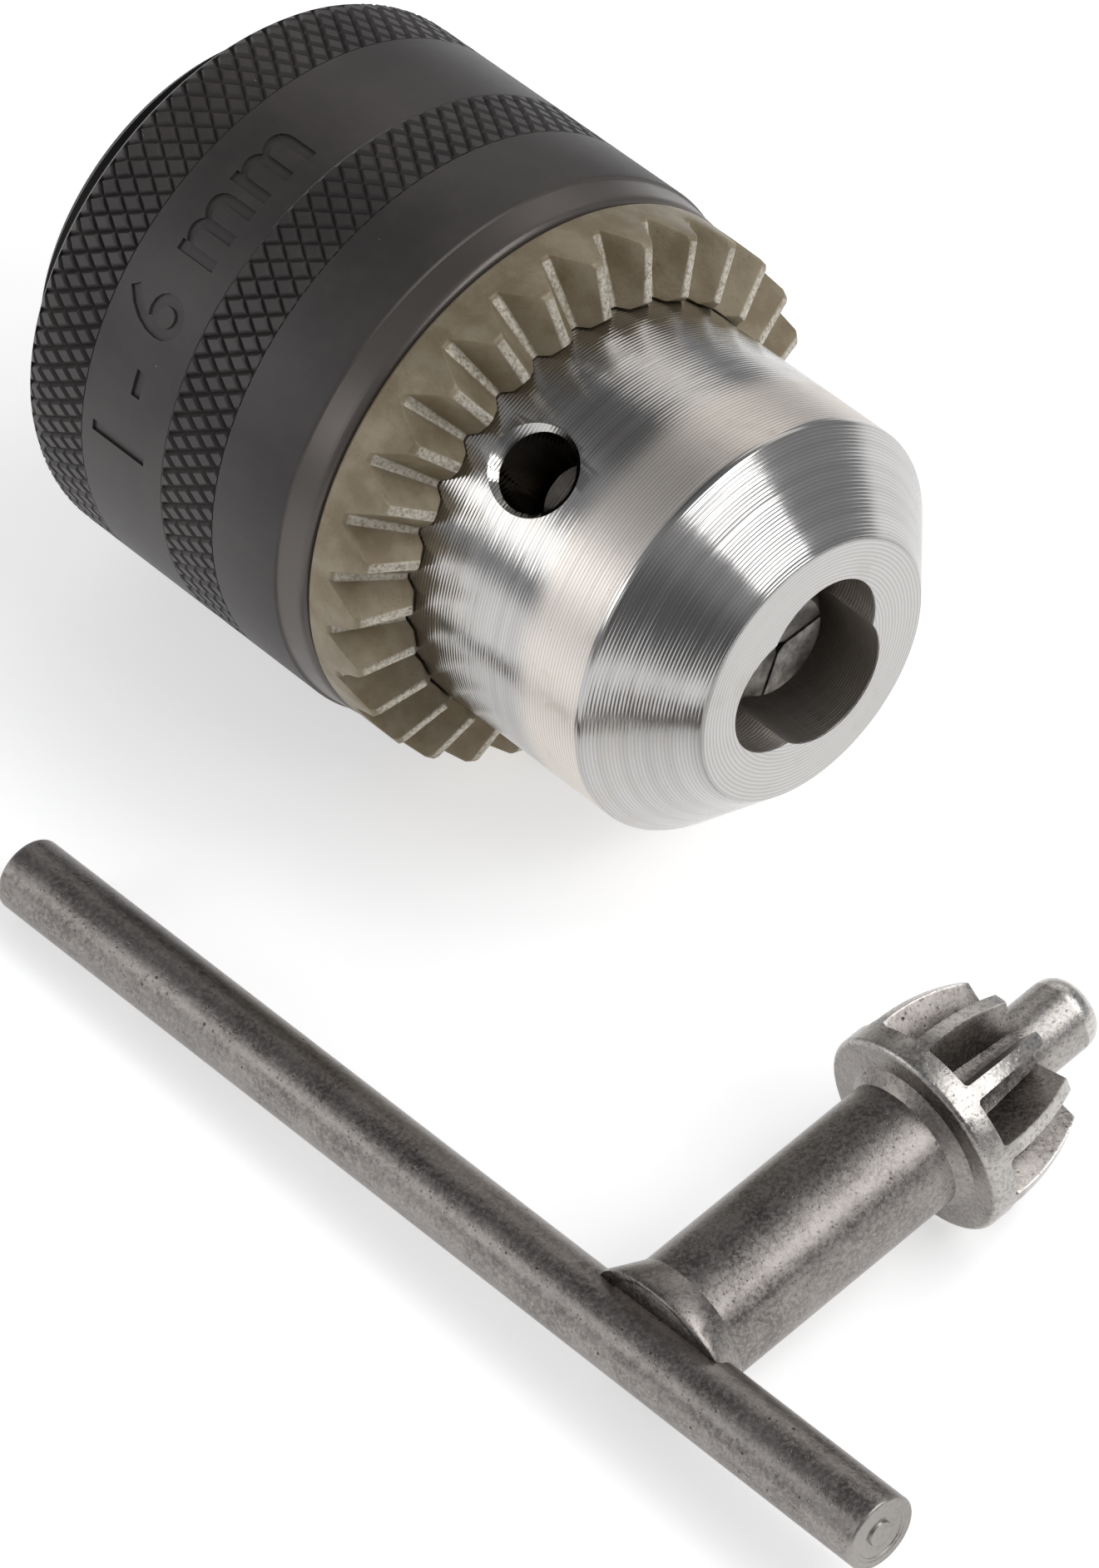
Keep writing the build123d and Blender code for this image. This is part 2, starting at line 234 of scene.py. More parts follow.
def outline_mesh(name, outline):
    """A ring of edges through (x, radius) points, on the side where Z is up."""
    bpy.ops.object.select_all(action="DESELECT")
    bpy.ops.mesh.primitive_circle_add(vertices=len(outline), radius=MM)
    piece = bpy.context.object
    piece.name = name
    for vertex, (x, radius) in zip(piece.data.vertices, outline):
        vertex.co = (x * MM, 0, radius * MM)
    return piece


def lathe(name, outline, steps=TURNING_STEPS):
    """Turns a closed outline of (x, radius) points about the chuck's axis."""
    piece = outline_mesh(name, outline)
    bpy.ops.object.mode_set(mode="EDIT")
    bpy.ops.mesh.select_all(action="SELECT")
    bpy.ops.mesh.spin(steps=steps, angle=2 * math.pi, center=(0, 0, 0), axis=(1, 0, 0))
    bpy.ops.mesh.select_all(action="SELECT")
    bpy.ops.mesh.remove_doubles(threshold=MERGE)
    bpy.ops.mesh.dissolve_degenerate(threshold=HAIR)
    bpy.ops.mesh.delete_loose()
    bpy.ops.mesh.select_all(action="SELECT")
    bpy.ops.mesh.normals_make_consistent(inside=False)
    bpy.ops.object.mode_set(mode="OBJECT")
    return piece


def apply_modifier(piece, kind, **settings):
    modifier = piece.modifiers.new(kind.lower(), kind)
    for setting, value in settings.items():
        setattr(modifier, setting, value)
    bpy.context.view_layer.objects.active = piece
    bpy.ops.object.modifier_apply(modifier=modifier.name)


def sleeve_top(x):
    """The sleeve's outer radius, with its rounded back edge."""
    behind = max(0.0, SLEEVE_BACK + BACK_ROUNDING - x)
    return SLEEVE_RADIUS - BACK_ROUNDING + math.sqrt(BACK_ROUNDING ** 2 - min(behind, BACK_ROUNDING) ** 2)


def wrap(piece, x, azimuth, top=lambda x: SLEEVE_RADIUS):
    """Rolls a flat mesh round the sleeve: its Y runs along the axis, its X round it and its Z outwards."""
    for vertex in piece.data.vertices:
        along, turn = x + vertex.co.y / MM, azimuth + vertex.co.x / MM / SLEEVE_RADIUS
        radius = top(along) + vertex.co.z / MM
        vertex.co = Vector((along, radius * math.cos(turn), radius * math.sin(turn))) * MM


def knurl(name, start, end):
    """One band: a flat-topped diamond is shaped, copied round and along, trimmed and rolled up."""
    across = 2 * math.pi * SLEEVE_RADIUS / KNURLS_ROUND
    rows = math.ceil((end - start) / KNURL_LENGTH) + 2
    bpy.ops.object.select_all(action="DESELECT")
    below = (0, 0, -KNURL_DEPTH * MM)
    bpy.ops.mesh.primitive_circle_add(vertices=4, radius=0.5 * MM, fill_type="NGON", location=below)
    band = bpy.context.object
    band.name = name
    bpy.ops.object.transform_apply(location=True, rotation=False, scale=False)
    bpy.ops.object.mode_set(mode="EDIT")
    bpy.ops.mesh.select_all(action="SELECT")
    bpy.ops.transform.resize(value=(across, KNURL_LENGTH, 1))
    bpy.ops.mesh.inset(thickness=KNURL_GROOVE * MM, depth=(KNURL_DEPTH - KNURL_CHAMFER) * MM)
    bpy.ops.mesh.inset(thickness=KNURL_CHAMFER * MM, depth=KNURL_CHAMFER * MM)
    bpy.ops.mesh.select_all(action="SELECT")
    step = (across / 2 * MM, KNURL_LENGTH / 2 * MM, 0)
    bpy.ops.mesh.duplicate_move(TRANSFORM_OT_translate={"value": step})
    bpy.ops.object.mode_set(mode="OBJECT")
    row = {"use_relative_offset": False, "use_constant_offset": True}
    apply_modifier(band, "ARRAY", count=KNURLS_ROUND, constant_offset_displace=(across * MM, 0, 0), **row)
    apply_modifier(band, "ARRAY", count=rows, constant_offset_displace=(0, KNURL_LENGTH * MM, 0), **row)
    bpy.ops.object.mode_set(mode="EDIT")
    for level, clear in ((KNURL_LENGTH, "clear_inner"), (KNURL_LENGTH + end - start, "clear_outer")):
        bpy.ops.mesh.select_all(action="SELECT")
        bpy.ops.mesh.bisect(plane_co=(0, level * MM, 0), plane_no=(0, 1, 0), **{clear: True})
    bpy.ops.object.mode_set(mode="OBJECT")
    wrap(band, start - KNURL_LENGTH, 0.0, sleeve_top)
    bpy.ops.object.mode_set(mode="EDIT")
    bpy.ops.mesh.select_all(action="SELECT")
    bpy.ops.mesh.remove_doubles(threshold=1.5 * MERGE)
    bpy.ops.object.mode_set(mode="OBJECT")
    apply_modifier(band, "SOLIDIFY", thickness=KNURL_SKIN * MM, offset=-1.0)
    return band


def pick(*pieces):
    """Selects these objects alone and makes the first of them active."""
    bpy.ops.object.select_all(action="DESELECT")
    for piece in pieces:
        piece.select_set(True)
    bpy.context.view_layer.objects.active = pieces[0]


def join(*pieces):
    """Makes one object of several, the first of them."""
    pick(*pieces)
    bpy.ops.object.join()
    return pieces[0]


def cut(piece, cutter):
    """Takes the cutter out of the piece and throws the cutter away."""
    apply_modifier(piece, "BOOLEAN", operation="DIFFERENCE", solver="EXACT", object=cutter)
    bpy.data.objects.remove(cutter)


def smooth(piece, angle=32):
    pick(piece)
    bpy.ops.object.shade_smooth_by_angle(angle=math.radians(angle))


def band_edge(x, way):
    """Points that climb from a knurl's floor to the plain sleeve, with a small chamfer at the top."""
    return [(x, KNURL_FLOOR), (x, SLEEVE_RADIUS - BAND_EDGE), (x + way * BAND_EDGE, SLEEVE_RADIUS)]


(back_start, back_end), (front_start, front_end) = KNURL_BANDS
rounding_x = SLEEVE_BACK + BACK_ROUNDING
rounded = math.degrees(math.acos((rounding_x - back_start) / BACK_ROUNDING))
sleeve_outline = arc(rounding_x, SLEEVE_RADIUS - BACK_ROUNDING, BACK_ROUNDING, 180, 180 - rounded, 5)
sleeve_outline += [(back_start + 0.02, KNURL_FLOOR_AT_BACK)] + band_edge(back_end, 1)
sleeve_outline += PLAIN_BAND
sleeve_outline += band_edge(front_start, -1)[::-1] + band_edge(front_end, 1)
sleeve_outline += LIP_STEP
sleeve_outline += arc(*LIP_CENTRE, LIP_ROUNDING, 85, 0, 5)
sleeve_outline += SLEEVE_INSIDE
sleeve = lathe("grip_sleeve", sleeve_outline)

bpy.ops.object.select_all(action="DESELECT")
bpy.ops.object.text_add()
stamp = bpy.context.object
stamp.data.body = STAMP_TEXT
stamp.data.size = STAMP_SIZE * MM
stamp.data.extrude = STAMP_DEPTH * MM
stamp.data.offset = STAMP_BOLDNESS * MM
stamp.data.resolution_u = 4
stamp.data.align_x, stamp.data.align_y = "CENTER", "CENTER"
bpy.ops.object.convert(target="MESH")
bpy.ops.object.mode_set(mode="EDIT")
bpy.ops.mesh.select_all(action="SELECT")
bpy.ops.mesh.remove_doubles(threshold=MERGE)
bpy.ops.mesh.normals_make_consistent(inside=False)
bpy.ops.object.mode_set(mode="OBJECT")
stamp.data.transform(Matrix.Rotation(math.pi, 4, "Z"))
wrap(stamp, STAMP_MIDDLE, math.radians(STAMP_AZIMUTH))
cut(sleeve, stamp)
sleeve = join(sleeve, *[knurl(f"knurl_{start:.0f}", start, end) for start, end in KNURL_BANDS])
smooth(sleeve)


class Finish(Nodes):
    """A finish on metal. Its patterns follow the piece's own place, in millimetres."""

    def __init__(self, name, metallic, place=(0, 0, 0), turn=(0, 0, 0)):
        self.material = bpy.data.materials.new(name)
        super().__init__(self.material)
        self.shader = self.tree.nodes["Principled BSDF"]
        self.shader.inputs["Metallic"].default_value = metallic
        local = self.add("ShaderNodeTexCoord", output="Object")
        values = {"Vector": local, "Location": place, "Rotation": turn, "Scale": (MM, MM, MM)}
        self.place = self.add("ShaderNodeMapping", {"vector_type": "TEXTURE"}, values)
        self.x = self.add("ShaderNodeSeparateXYZ", None, {0: self.place})
        self.y, self.z = self.x.other(1), self.x.other(2)

    def from_x(self):
        """The distance from the chuck's axis."""
        return (self.y ** 2.0 + self.z ** 2.0) ** 0.5

    def set(self, **sockets):
        """Feeds the surface's own sockets, such as base_color and roughness."""
        for socket, value in sockets.items():
            self.join(self.shader.inputs[socket.replace("_", " ").title()], value)

    def noise(self, scale, detail=2.0, rough=0.5, place=None):
        values = {"Vector": place or self.place, "Scale": scale, "Detail": detail, "Roughness": rough}
        return self.add("ShaderNodeTexNoise", None, values)

    def grooves(self, along, scale, detail=2.0):
        """Lines across one direction only, of random depth."""
        values = {"W": along, "Scale": scale, "Detail": detail}
        return self.add("ShaderNodeTexNoise", {"noise_dimensions": "1D"}, values)

    def spots(self, scale, size, kept):
        """Round spots at random: size is their radius and kept is their share, both from 0 to 1."""
        cells = self.add("ShaderNodeTexVoronoi", None, {"Vector": self.place, "Scale": scale})
        chance = self.add("ShaderNodeSeparateColor", None, {0: cells.other(1)})
        return cells.rise(size, size * 0.4) * chance.rise(1 - kept, 1 - kept + 0.02)

    def bump(self, height, distance, strength=1.0, over=None):
        """A surface normal from a height, whose full distance is in millimetres."""
        values = {"Height": height, "Distance": distance * MM, "Strength": strength}
        if over:
            values["Normal"] = over
        return self.add("ShaderNodeBump", None, values)


def wear(piece, finish, slot, body, *nodes):
    """Gives a finished piece its material, its body and the CAD parts that it stands for. The slot is not
    used.
    """
    piece.data.materials.clear()
    piece.data.materials.append(finish.material)
    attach(piece, body)
    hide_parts(*nodes)


oxide = Finish("black_oxide", 0.0)
mottle = oxide.noise(0.16, 4.0, 0.6)
handled = oxide.noise(0.9, 5.0, 0.65)
dust = oxide.spots(1.3, 0.075, 0.10)
grain = oxide.noise(14.0, 3.0, 0.6)
turned = oxide.grooves(oxide.x, 7.0, 3.0)
lip = oxide.x.rise(LIP_COLOUR_START, LIP_COLOUR_START + 0.2)
shine = mottle.rise(0.35, 0.70) * 0.55 + handled.rise(0.45, 0.75) * 0.25
black = oxide.mix(shine, BLACK_OXIDE, WORN_OXIDE)
black = oxide.mix(lip * 0.8, black, LIP_OXIDE)
oxide.set(base_color=oxide.mix(dust * 0.5, black, DUST))
oxide.set(metallic=lip * 0.55)
oxide.set(roughness=0.36 + mottle * 0.10 + handled * 0.12 - lip * 0.12 + dust * 0.3)
oxide_relief = oxide.bump(turned, 0.004, 0.5)
oxide.set(normal=oxide.bump(grain * 0.6 + handled * 0.8, 0.010, 0.55, oxide_relief))
oxide.shader.inputs["Specular IOR Level"].default_value = OXIDE_SPECULAR
wear(sleeve, oxide, "black_oxide", "sleeve", "sleeve_shell")


# ---------------------------------------------------------------- Toothed ring
# A sintered crown gear pressed into the sleeve's mouth, which the key's pinion turns. It is khaki brown and
# granular, with its tooth crests and the outer ends of its gaps worn bright. The crests and roots slope from
# the outer radius to the inner one, so each has two places along the axis.
RING_RADIUS, CREST_INNER_RADIUS = 14.6, 11.8
CREST_OUTER, CREST_INNER = 27.2, 28.0
ROOT_OUTER, ROOT_INNER = 25.0, 26.7
RING_WEAR = 0.07
KHAKI_DARK, KHAKI_LIGHT = (0.225, 0.178, 0.110, 1), (0.31, 0.262, 0.182, 1)
KHAKI_PORE, KHAKI_BARE = (0.085, 0.07, 0.048, 1), (0.72, 0.68, 0.60, 1)


def worn_copy(name, node, edge, angle=30, segments=2):
    """A copy of a CAD part, with its loose triangles merged and its sharp edges rounded by wear."""
    piece = bpy.data.objects.new(name, frame["nodes"][node].data.copy())
    bpy.context.scene.collection.objects.link(piece)
    pick(piece)
    bpy.ops.object.mode_set(mode="EDIT")
    bpy.ops.mesh.select_all(action="SELECT")
    bpy.ops.mesh.remove_doubles(threshold=MERGE)
    bpy.ops.mesh.dissolve_limited(angle_limit=math.radians(0.6))
    bpy.ops.object.mode_set(mode="OBJECT")
    limits = {"limit_method": "ANGLE", "angle_limit": math.radians(angle), "use_clamp_overlap": True}
    apply_modifier(piece, "BEVEL", width=edge * MM, segments=segments, **limits)
    smooth(piece, 40)
    return piece


ring = worn_copy("crown_teeth", "gear_ring", RING_WEAR)
khaki = Finish("granular_khaki", 0.3)
ring_radius = khaki.from_x()
reach = (RING_RADIUS - ring_radius) / (RING_RADIUS - CREST_INNER_RADIUS)
below_crest = CREST_OUTER + reach * (CREST_INNER - CREST_OUTER) - khaki.x
above_root = khaki.x - (ROOT_OUTER + reach * (ROOT_INNER - ROOT_OUTER))
sand = khaki.noise(5.5, 6.0, 0.7)
stain = khaki.noise(0.5, 4.0, 0.6)
crest = below_crest.rise(0.13, 0.03)
floor_line = above_root.rise(0.10, 0.03) * ring_radius.rise(14.45, 14.35)
worn = (crest + floor_line * 0.8) * sand.rise(0.30, 0.62)
rim = ring_radius.rise(14.42, 14.52)
brown = khaki.mix(stain.rise(0.35, 0.68), KHAKI_DARK, KHAKI_LIGHT)
brown = khaki.mix(sand.rise(0.42, 0.30) * 0.55, brown, KHAKI_PORE)
khaki.set(base_color=khaki.mix(worn * 0.85, brown, KHAKI_BARE))
khaki.set(roughness=0.50 + sand * 0.14 - worn * 0.22 - rim * 0.12)
khaki.set(normal=khaki.bump(sand, 0.030, 0.75))
wear(ring, khaki, "ring_steel", "sleeve", "gear_ring")


# ---------------------------------------------------------------- Body
# One bar of steel, turned bright and left with its tool marks. The spindle screws into the back, three jaw
# holes slant back from the nose, and three blind countersunk holes take the key's pin. The nut runs in a deep
# groove, and the thread is one helical ridge. Painted shade darkens the rim at the back, the pilot holes, the
# groove and the bore, and a painted highlight lightens the jaw holes' walls just inside the nose.
BODY_LENGTH, NOSE_RADIUS, FACE_RADIUS, NOSE_EDGE = 43.2, 11.24, 7.15, 0.3
JAW_AZIMUTHS = (65.2, 185.2, 305.2)
JAW_LEAN, JAW_OFFSET, JAW_HOLE_RADIUS = 12.0, 1.5, 3.48
DRILL_BORE, DRILL_FLOOR = 3.4, 13.0
PILOT_X, PILOT_RADIUS, PILOT_FLOOR, PILOT_POINT, PILOT_CHAMFER = 31.1, 2.05, 6.04, 4.93, 0.5
THREAD_MAJOR, THREAD_MINOR, THREAD_PITCH, THREAD_START, THREAD_TURNS = 4.76, 4.27, 1.058, 0.75, 8
THREAD_CREST, THREAD_FOOT, THREAD_ROOT = 0.09, 0.46, (0.52, 4.95)
BACK_OUTLINE = ((0, 5.15), (0, 11.4), (0.6, 12), (16.5, 12), (16.5, 8.3), (22.1, 8.3), (22.1, NOSE_RADIUS))
NOSE_RINGS = (24, 26, 28, 29.5, 31.1, 32.7, 34.4, 36, 37.5)
FACE_RINGS = (6.0, 4.6, DRILL_BORE)
SPINDLE_OUTLINE = ((DRILL_FLOOR, 0), (10, 0), (10, THREAD_MAJOR), (0.4, THREAD_MAJOR))
BODY_WEAR = 0.05
MARK_PITCH, MARK_DEPTH = 0.188, 0.008
STEEL_DARK, STEEL_LIGHT, STEEL_FACE = (0.50, 0.49, 0.48, 1), (0.56, 0.55, 0.54, 1), (0.60, 0.59, 0.575, 1)
# Of these, the bright warm mouth colour is a painted highlight and the dark pilot colour is painted shade.
# The near-black last colour on the next line is painted shade on the rim at the back.
MOUTH_HIGHLIGHT, RECESS_SHADE, MARK_STEEL = (0.86, 0.80, 0.74, 1), (0.16, 0.145, 0.13, 1), (0.22, 0.21, 0.20, 1)
SMEAR, FLECK, REAR_RIM_SHADE = (0.46, 0.42, 0.37, 1), (0.12, 0.11, 0.10, 1), (0.02, 0.019, 0.018, 1)

corner = NOSE_EDGE * math.tan(math.radians(22.5))
cone_drop = NOSE_RADIUS - FACE_RADIUS
cone_start = BODY_LENGTH - cone_drop
body_outline = [*BACK_OUTLINE] + [(x, NOSE_RADIUS) for x in NOSE_RINGS]
body_outline += arc(cone_start - corner, NOSE_RADIUS - NOSE_EDGE, NOSE_EDGE, 90, 45, 4)
for part in (0.25, 0.5, 0.75):
    body_outline += [(cone_start + cone_drop * part, NOSE_RADIUS - cone_drop * part)]
body_outline += arc(BODY_LENGTH - NOSE_EDGE, FACE_RADIUS - corner, NOSE_EDGE, 45, 0, 4)
body_outline += [(BODY_LENGTH, radius) for radius in FACE_RINGS]
body_outline += [(30, DRILL_BORE), (DRILL_FLOOR, DRILL_BORE), *SPINDLE_OUTLINE]
body = lathe("turned_body", body_outline)
for azimuth in JAW_AZIMUTHS:
    outwards = Vector((0, math.cos(math.radians(azimuth)), math.sin(math.radians(azimuth))))
    lean = math.radians(JAW_LEAN)
    slant = Vector((math.cos(lean), 0, 0)) - outwards * math.sin(lean)
    mouth = Vector((BODY_LENGTH, 0, 0)) + outwards * JAW_OFFSET
    turn = slant.to_track_quat("Z", "Y").to_euler()
    bpy.ops.object.select_all(action="DESELECT")
    bpy.ops.mesh.primitive_cylinder_add(vertices=128, radius=JAW_HOLE_RADIUS * MM, depth=64 * MM,
                                        location=(mouth - slant * 24) * MM, rotation=turn)
    cut(body, bpy.context.object)
for azimuth in JAW_AZIMUTHS:
    turn = math.radians(azimuth + 60)
    chamfer = PILOT_RADIUS + PILOT_CHAMFER
    pilot_outline = [(PILOT_POINT, 0), (PILOT_FLOOR, PILOT_RADIUS)]
    pilot_outline += [(NOSE_RADIUS - PILOT_CHAMFER, PILOT_RADIUS)]
    pilot_outline += [(NOSE_RADIUS + 1, chamfer + 1), (NOSE_RADIUS + 1, 0)]
    pilot = lathe("pilot_drill", pilot_outline, 96)
    pilot.data.transform(Matrix.Rotation(turn, 4, "X") @ Matrix.Rotation(math.pi / 2, 4, "Z"))
    pilot.data.transform(Matrix.Translation((PILOT_X * MM, 0, 0)))
    cut(body, pilot)
limits = {"limit_method": "ANGLE", "angle_limit": math.radians(38), "use_clamp_overlap": True}
apply_modifier(body, "BEVEL", width=BODY_WEAR * MM, segments=2, **limits)

half_ridge = [(THREAD_CREST, THREAD_MINOR), (THREAD_FOOT, THREAD_MAJOR), THREAD_ROOT]
ridge = [(THREAD_START - x, radius) for x, radius in half_ridge[::-1]]
ridge += [(THREAD_START + x, radius) for x, radius in half_ridge]
thread = outline_mesh("thread_ridge", ridge)
apply_modifier(thread, "SCREW", axis="X", screw_offset=THREAD_PITCH * MM, iterations=THREAD_TURNS, steps=64,
               render_steps=64, use_merge_vertices=False)
bpy.ops.object.mode_set(mode="EDIT")
bpy.ops.mesh.select_all(action="SELECT")
bpy.ops.mesh.remove_doubles(threshold=MERGE)
bpy.ops.mesh.select_all(action="DESELECT")
bpy.ops.mesh.select_non_manifold()
bpy.ops.mesh.fill_holes(sides=8)
bpy.ops.mesh.select_all(action="SELECT")
bpy.ops.mesh.normals_make_consistent(inside=False)
bpy.ops.object.mode_set(mode="OBJECT")
body = join(body, thread)
smooth(body)

bright = Finish("bright_turned_steel", 1.0)
body_radius = bright.from_x()
face = bright.x.rise(BODY_LENGTH - 0.10, BODY_LENGTH - 0.03)
along = bright.x - body_radius * (0.5 + face * 0.4)
under_cone = (cone_start + NOSE_RADIUS - 0.25 - bright.x - body_radius).rise(0.0, 0.2)
# Painted highlight: the jaw holes' walls just inside the nose are coloured a bright warm steel.
painted_mouth_highlight = under_cone * bright.x.rise(34.0, 36.0) * (1 - face)
# Painted shade: everything sunk below the nose radius behind the nose, such as the pilot holes, the groove
# and the bore, is coloured dark.
painted_recess_shade = (10.95 - body_radius).rise(0.0, 0.2) * bright.x.rise(34.0, 33.6)
# Painted shade: the rim behind the sleeve is coloured near black, and made rough.
rear_rim = bright.x.rise(2.8, 2.5) * body_radius.rise(11.25, 11.4)
marks = (along * (2 * math.pi / MARK_PITCH)).sine() * 0.5 + bright.grooves(along, 14.0, 1.0) * 0.6 - 0.3
coarse = bright.grooves(along, 1.1, 3.0)
smear = bright.noise(0.35, 4.0, 0.6)
flecks = bright.spots(2.4, 0.10, 0.12)
scuffs = bright.noise(3.0, 5.0, 0.7).rise(0.62, 0.74)
steel = bright.mix(coarse.rise(0.35, 0.68), STEEL_DARK, STEEL_LIGHT)
# Real stains and marks, with painted light among them: the mouth colour is a painted highlight, and the pilot
# and rear rim colours are painted shade.
stains_and_painted_light = ((face, STEEL_FACE), (painted_mouth_highlight, MOUTH_HIGHLIGHT), (painted_recess_shade, RECESS_SHADE))
stains_and_painted_light += ((marks.rise(0.30, -0.45) * 0.30, MARK_STEEL), (smear.rise(0.52, 0.72) * 0.35, SMEAR))
stains_and_painted_light += ((flecks * 0.7, FLECK), (rear_rim, REAR_RIM_SHADE))
for share, colour in stains_and_painted_light:
    steel = bright.mix(share, steel, colour)
bright.set(base_color=steel)
tooled = 0.11 + face * 0.24 + coarse * 0.04 + painted_mouth_highlight * 0.25 + rear_rim * 0.4
bright.set(roughness=tooled + scuffs * 0.08 + smear * 0.05)
bright.set(normal=bright.bump(marks, MARK_DEPTH))
wear(body, bright, "turned_steel", "body", "body")


# ---------------------------------------------------------------- Split nut
# A hardened ring broken in two so that it fits round the body's groove. Its thread drives the jaws, and the
# sleeve holds the halves together. They are dark and oily, and are shown as the CAD has them.
NUT_DARK, NUT_LIGHT = (0.05, 0.047, 0.043, 1), (0.20, 0.19, 0.175, 1)
oiled = Finish("oiled_nut", 0.9)
oil = oiled.noise(0.8, 5.0, 0.6)
oiled.set(base_color=oiled.mix(oil, NUT_DARK, NUT_LIGHT))
oiled.set(roughness=0.25 + oil * 0.35)
oiled.set(normal=oiled.bump(oiled.noise(6.0, 4.0, 0.6), 0.012, 0.6))
for node in ("nut_half_a", "nut_half_b"):
    frame["nodes"][node].data.materials.clear()
    frame["nodes"][node].data.materials.append(oiled.material)


# ---------------------------------------------------------------- Jaws
# Three hardened round jaws that slide in the slanted holes. Each has a rack on its outer side, two flats that
# meet its neighbours and a ground cone at the tip.
JAW_WEAR = 0.05
JAW_DARK, JAW_LIGHT = (0.09, 0.085, 0.08, 1), (0.22, 0.21, 0.20, 1)
ground = Finish("ground_jaw", 1.0)
jaw_cloud = ground.noise(1.2, 5.0, 0.6)
jaw_scratch = ground.grooves(ground.x + jaw_cloud * 0.4, 8.0, 4.0)
ground.set(base_color=ground.mix(jaw_cloud.rise(0.35, 0.65), JAW_DARK, JAW_LIGHT))
ground.set(roughness=0.20 + jaw_cloud * 0.25)
ground.set(normal=ground.bump(jaw_scratch, 0.010, 0.7))
for number in (1, 2, 3):
    jaw = worn_copy(f"round_jaw_{number}", f"jaw_{number}", JAW_WEAR)
    wear(jaw, ground, "jaw_steel", f"jaw_{number}", f"jaw_{number}")


# ---------------------------------------------------------------- Key shank with pinion
# A turned and milled steel shank with a flange, ten tapering teeth and a pilot pin. It is left as heat
# treated, dark gunmetal with pits and speckles, and is rubbed bright on its pin. Its crests and its rim are
# coloured bright in patches, partly as wear and partly as a painted highlight.
KEY_PIN_HEIGHT, KEY_ROLL = 25.1, 2.135
FLANGE_HEIGHT, FLANGE_RADIUS, FLANGE_RIM = 16.9, 5.45, 1.3
PINION_FRONT, PINION_FRONT_RADIUS, PINION_BULGE = 23.2, 4.3, 0.35
SHANK_WEAR = 0.10
GUNMETAL_DARK, GUNMETAL_LIGHT = (0.145, 0.130, 0.121, 1), (0.27, 0.248, 0.233, 1)
GUNMETAL_SKIN, GUNMETAL_PIT = (0.46, 0.435, 0.41, 1), (0.05, 0.046, 0.042, 1)
# Bare steel, used for rubbed wear on the pin and for wear with a painted highlight on the crests and the rim.
GUNMETAL_BARE_AND_HIGHLIGHT = (0.62, 0.60, 0.57, 1)

key_pin = next(mount for mount in frame["record"]["mounts"] if mount["name"] == "key_pin")
key_axis = Vector(key_pin["axis"])
key_middle = Vector(key_pin["pos_m"]) - key_axis * (KEY_PIN_HEIGHT * MM)
key_tilt = math.atan2(key_axis.z, key_axis.y)
key_turn = Matrix.Rotation(key_tilt - math.pi / 2, 4, "X") @ Matrix.Rotation(math.radians(-KEY_ROLL), 4, "Z")
key_lie = Matrix.Translation(key_middle) @ key_turn


def gunmetal(name):
    """Heat-treated steel in the key's own frame, with X along the bar and Z up the shank.

    Returns the finish, then the colour, roughness, relief and speckle that each piece adds its own wear to.
    """
    finish = Finish(name, 1.0, key_middle, key_turn.to_euler())
    cloud = finish.noise(0.35, 5.0, 0.65)
    speckle = finish.noise(4.2, 6.0, 0.75)
    pits = finish.spots(1.6, 0.17, 0.20) * speckle.rise(0.25, 0.45)
    fine_pits = finish.spots(4.6, 0.34, 0.34)
    scale_skin = speckle.rise(0.40, 0.66)
    colour = finish.mix(cloud.rise(0.30, 0.70), GUNMETAL_DARK, GUNMETAL_LIGHT)
    colour = finish.mix(scale_skin * 0.6, colour, GUNMETAL_SKIN)
    colour = finish.mix(pits * 0.8 + fine_pits * 0.4, colour, GUNMETAL_PIT)
    rough = 0.20 + cloud * 0.10 + scale_skin * 0.14 + pits * 0.25
    relief = finish.bump(speckle * 0.9 - pits * 0.9 - fine_pits * 0.5, 0.020)
    return finish, colour, rough, relief, speckle


shank = worn_copy("key_shank_and_pinion", "key_shank", SHANK_WEAR, 35, 3)
shank_finish, colour, rough, relief, speckle = gunmetal("gunmetal_shank")
shank_radius = (shank_finish.x ** 2.0 + shank_finish.y ** 2.0) ** 0.5
rim_top = FLANGE_HEIGHT + FLANGE_RIM
share = (shank_finish.z - rim_top) / (PINION_FRONT - rim_top)
bulge = share * (1 - share) * (4 * PINION_BULGE)
crest_radius = FLANGE_RADIUS - share * (FLANGE_RADIUS - PINION_FRONT_RADIUS) + bulge
# Partly wear, partly painted highlight: the tooth crests and the flange's outer rim are coloured bright in
# patches.
crest_wear_and_highlight = (shank_radius - crest_radius).rise(-0.12, -0.02) * share.rise(0.05, 0.2)
rim_wear_and_highlight = shank_radius.rise(FLANGE_RADIUS - 0.30, FLANGE_RADIUS - 0.10)
rim_wear_and_highlight = rim_wear_and_highlight * shank_finish.z.rise(rim_top + 0.8, rim_top) * 0.7
pin_rub = shank_finish.z.rise(PINION_FRONT + 0.2, PINION_FRONT + 1.0) * 0.45
bare_and_highlight = (crest_wear_and_highlight + rim_wear_and_highlight + pin_rub) * speckle.rise(0.28, 0.55)
shank_finish.set(base_color=shank_finish.mix(bare_and_highlight * 0.8, colour, GUNMETAL_BARE_AND_HIGHLIGHT))
shank_finish.set(roughness=rough - bare_and_highlight * 0.08)
shank_finish.set(normal=relief)
wear(shank, shank_finish, "key_steel", "key", "key_shank")


# ---------------------------------------------------------------- Weld flash
# The thin collar of metal that squeezed out when the shank was welded across the bar. It flares over the bar
# to a sharp lip with a shadow under it, and has the shank's own finish.
FLASH_WEAR = 0.04
flash = worn_copy("weld_flash_collar", "key_weld_flash", FLASH_WEAR, 35)
wear(flash, shank_finish, "key_steel", "key", "key_weld_flash")


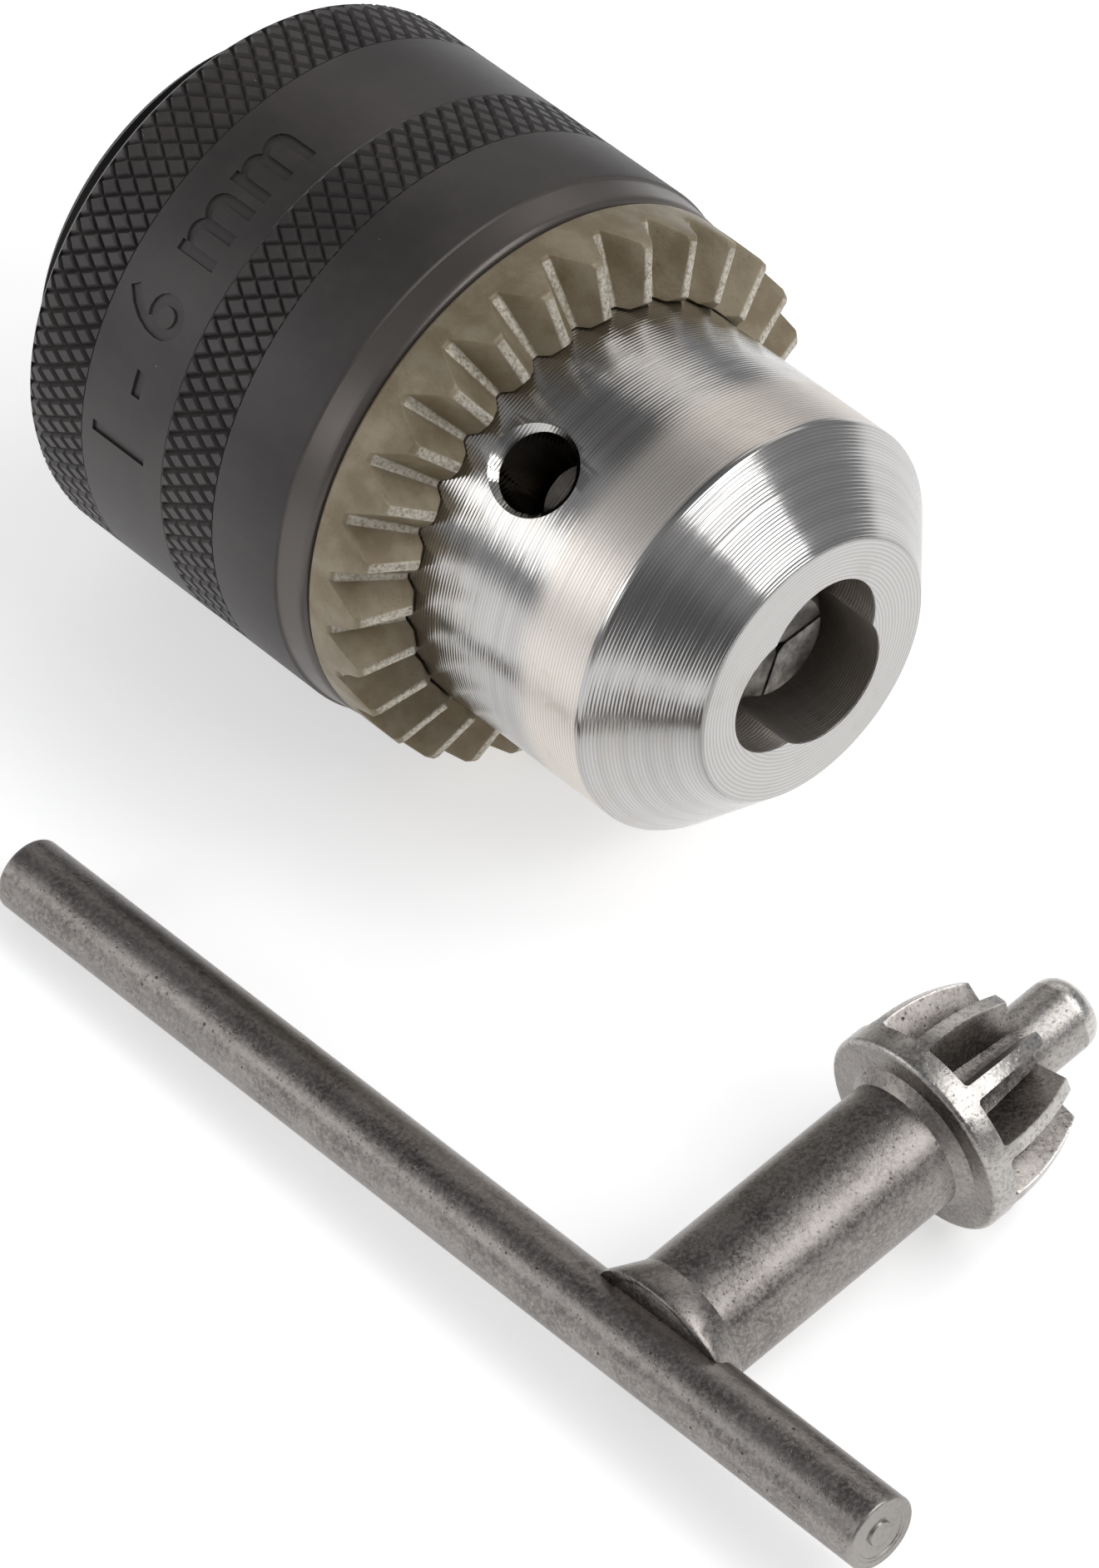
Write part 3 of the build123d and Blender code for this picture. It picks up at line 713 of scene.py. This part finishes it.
# ---------------------------------------------------------------- Bar
# The key's tommy bar, a length of drawn round steel with rounded ends. Each end face keeps the rings of the
# tool that cut it, and a small centre pip. Each ring below is a width and a rise.
BAR_RADIUS, BAR_LENGTH, BAR_OFFSET, BAR_EDGE = 1.95, 59.75, -14.55, 0.35
END_RINGS = ((0.15, -0.012), (0.12, 0.0), (0.105, -0.024), (0.15, -0.032), (0.15, 0.003), (0.18, -0.012))
RING_STEP = 0.03
PIP_DITCH, PIP_RISE = (0.25, -0.05), (0.05, 0.10)
BAR_DRAWN, BAR_CUT = (0.30, 0.29, 0.28, 1), (0.38, 0.36, 0.34, 1)
bpy.ops.object.select_all(action="DESELECT")
bpy.ops.mesh.primitive_cylinder_add(vertices=128, radius=BAR_RADIUS * MM, depth=BAR_LENGTH * MM)
bar = bpy.context.object
bar.name = "tommy_bar"
bpy.ops.object.mode_set(mode="EDIT")
bpy.ops.mesh.select_mode(type="FACE")
for end in (1, -1):
    bpy.ops.mesh.select_all(action="DESELECT")
    bpy.ops.object.mode_set(mode="OBJECT")
    for polygon in bar.data.polygons:
        polygon.select = polygon.normal.z * end > 0.9
    bpy.ops.object.mode_set(mode="EDIT")
    for width, rise in END_RINGS:
        bpy.ops.mesh.inset(thickness=width * MM, depth=0)
        bpy.ops.mesh.inset(thickness=RING_STEP * MM, depth=rise * MM)
    for width, rise in (PIP_DITCH, PIP_RISE):
        bpy.ops.mesh.inset(thickness=width * MM, depth=rise * MM)
bpy.ops.mesh.select_mode(type="VERT")
bpy.ops.object.mode_set(mode="OBJECT")
limits = {"limit_method": "ANGLE", "angle_limit": math.radians(80)}
apply_modifier(bar, "BEVEL", width=BAR_EDGE * MM, segments=4, **limits)
across_shank = Matrix.Translation((BAR_OFFSET * MM, 0, 0)) @ Matrix.Rotation(math.pi / 2, 4, "Y")
bar.data.transform(key_lie @ across_shank)
smooth(bar)
bar_finish, colour, rough, relief, speckle = gunmetal("gunmetal_bar")
stretched = bar_finish.add("ShaderNodeMapping", None, {"Vector": bar_finish.place, "Scale": (0.06, 1, 1)})
drawn = bar_finish.noise(2.0, 4.0, 0.6, stretched)
end_face = (bar_finish.x - BAR_OFFSET).size().rise(BAR_LENGTH / 2 - 0.275, BAR_LENGTH / 2 - 0.155)
colour = bar_finish.mix(drawn.rise(0.45, 0.70) * 0.35, colour, BAR_DRAWN)
bar_finish.set(base_color=bar_finish.mix(end_face * 0.5, colour, BAR_CUT))
bar_finish.set(roughness=rough + drawn * 0.06)
bar_finish.set(normal=bar_finish.bump(drawn, 0.010, 0.4, relief))
wear(bar, bar_finish, "bar_steel", "key", "key_bar")
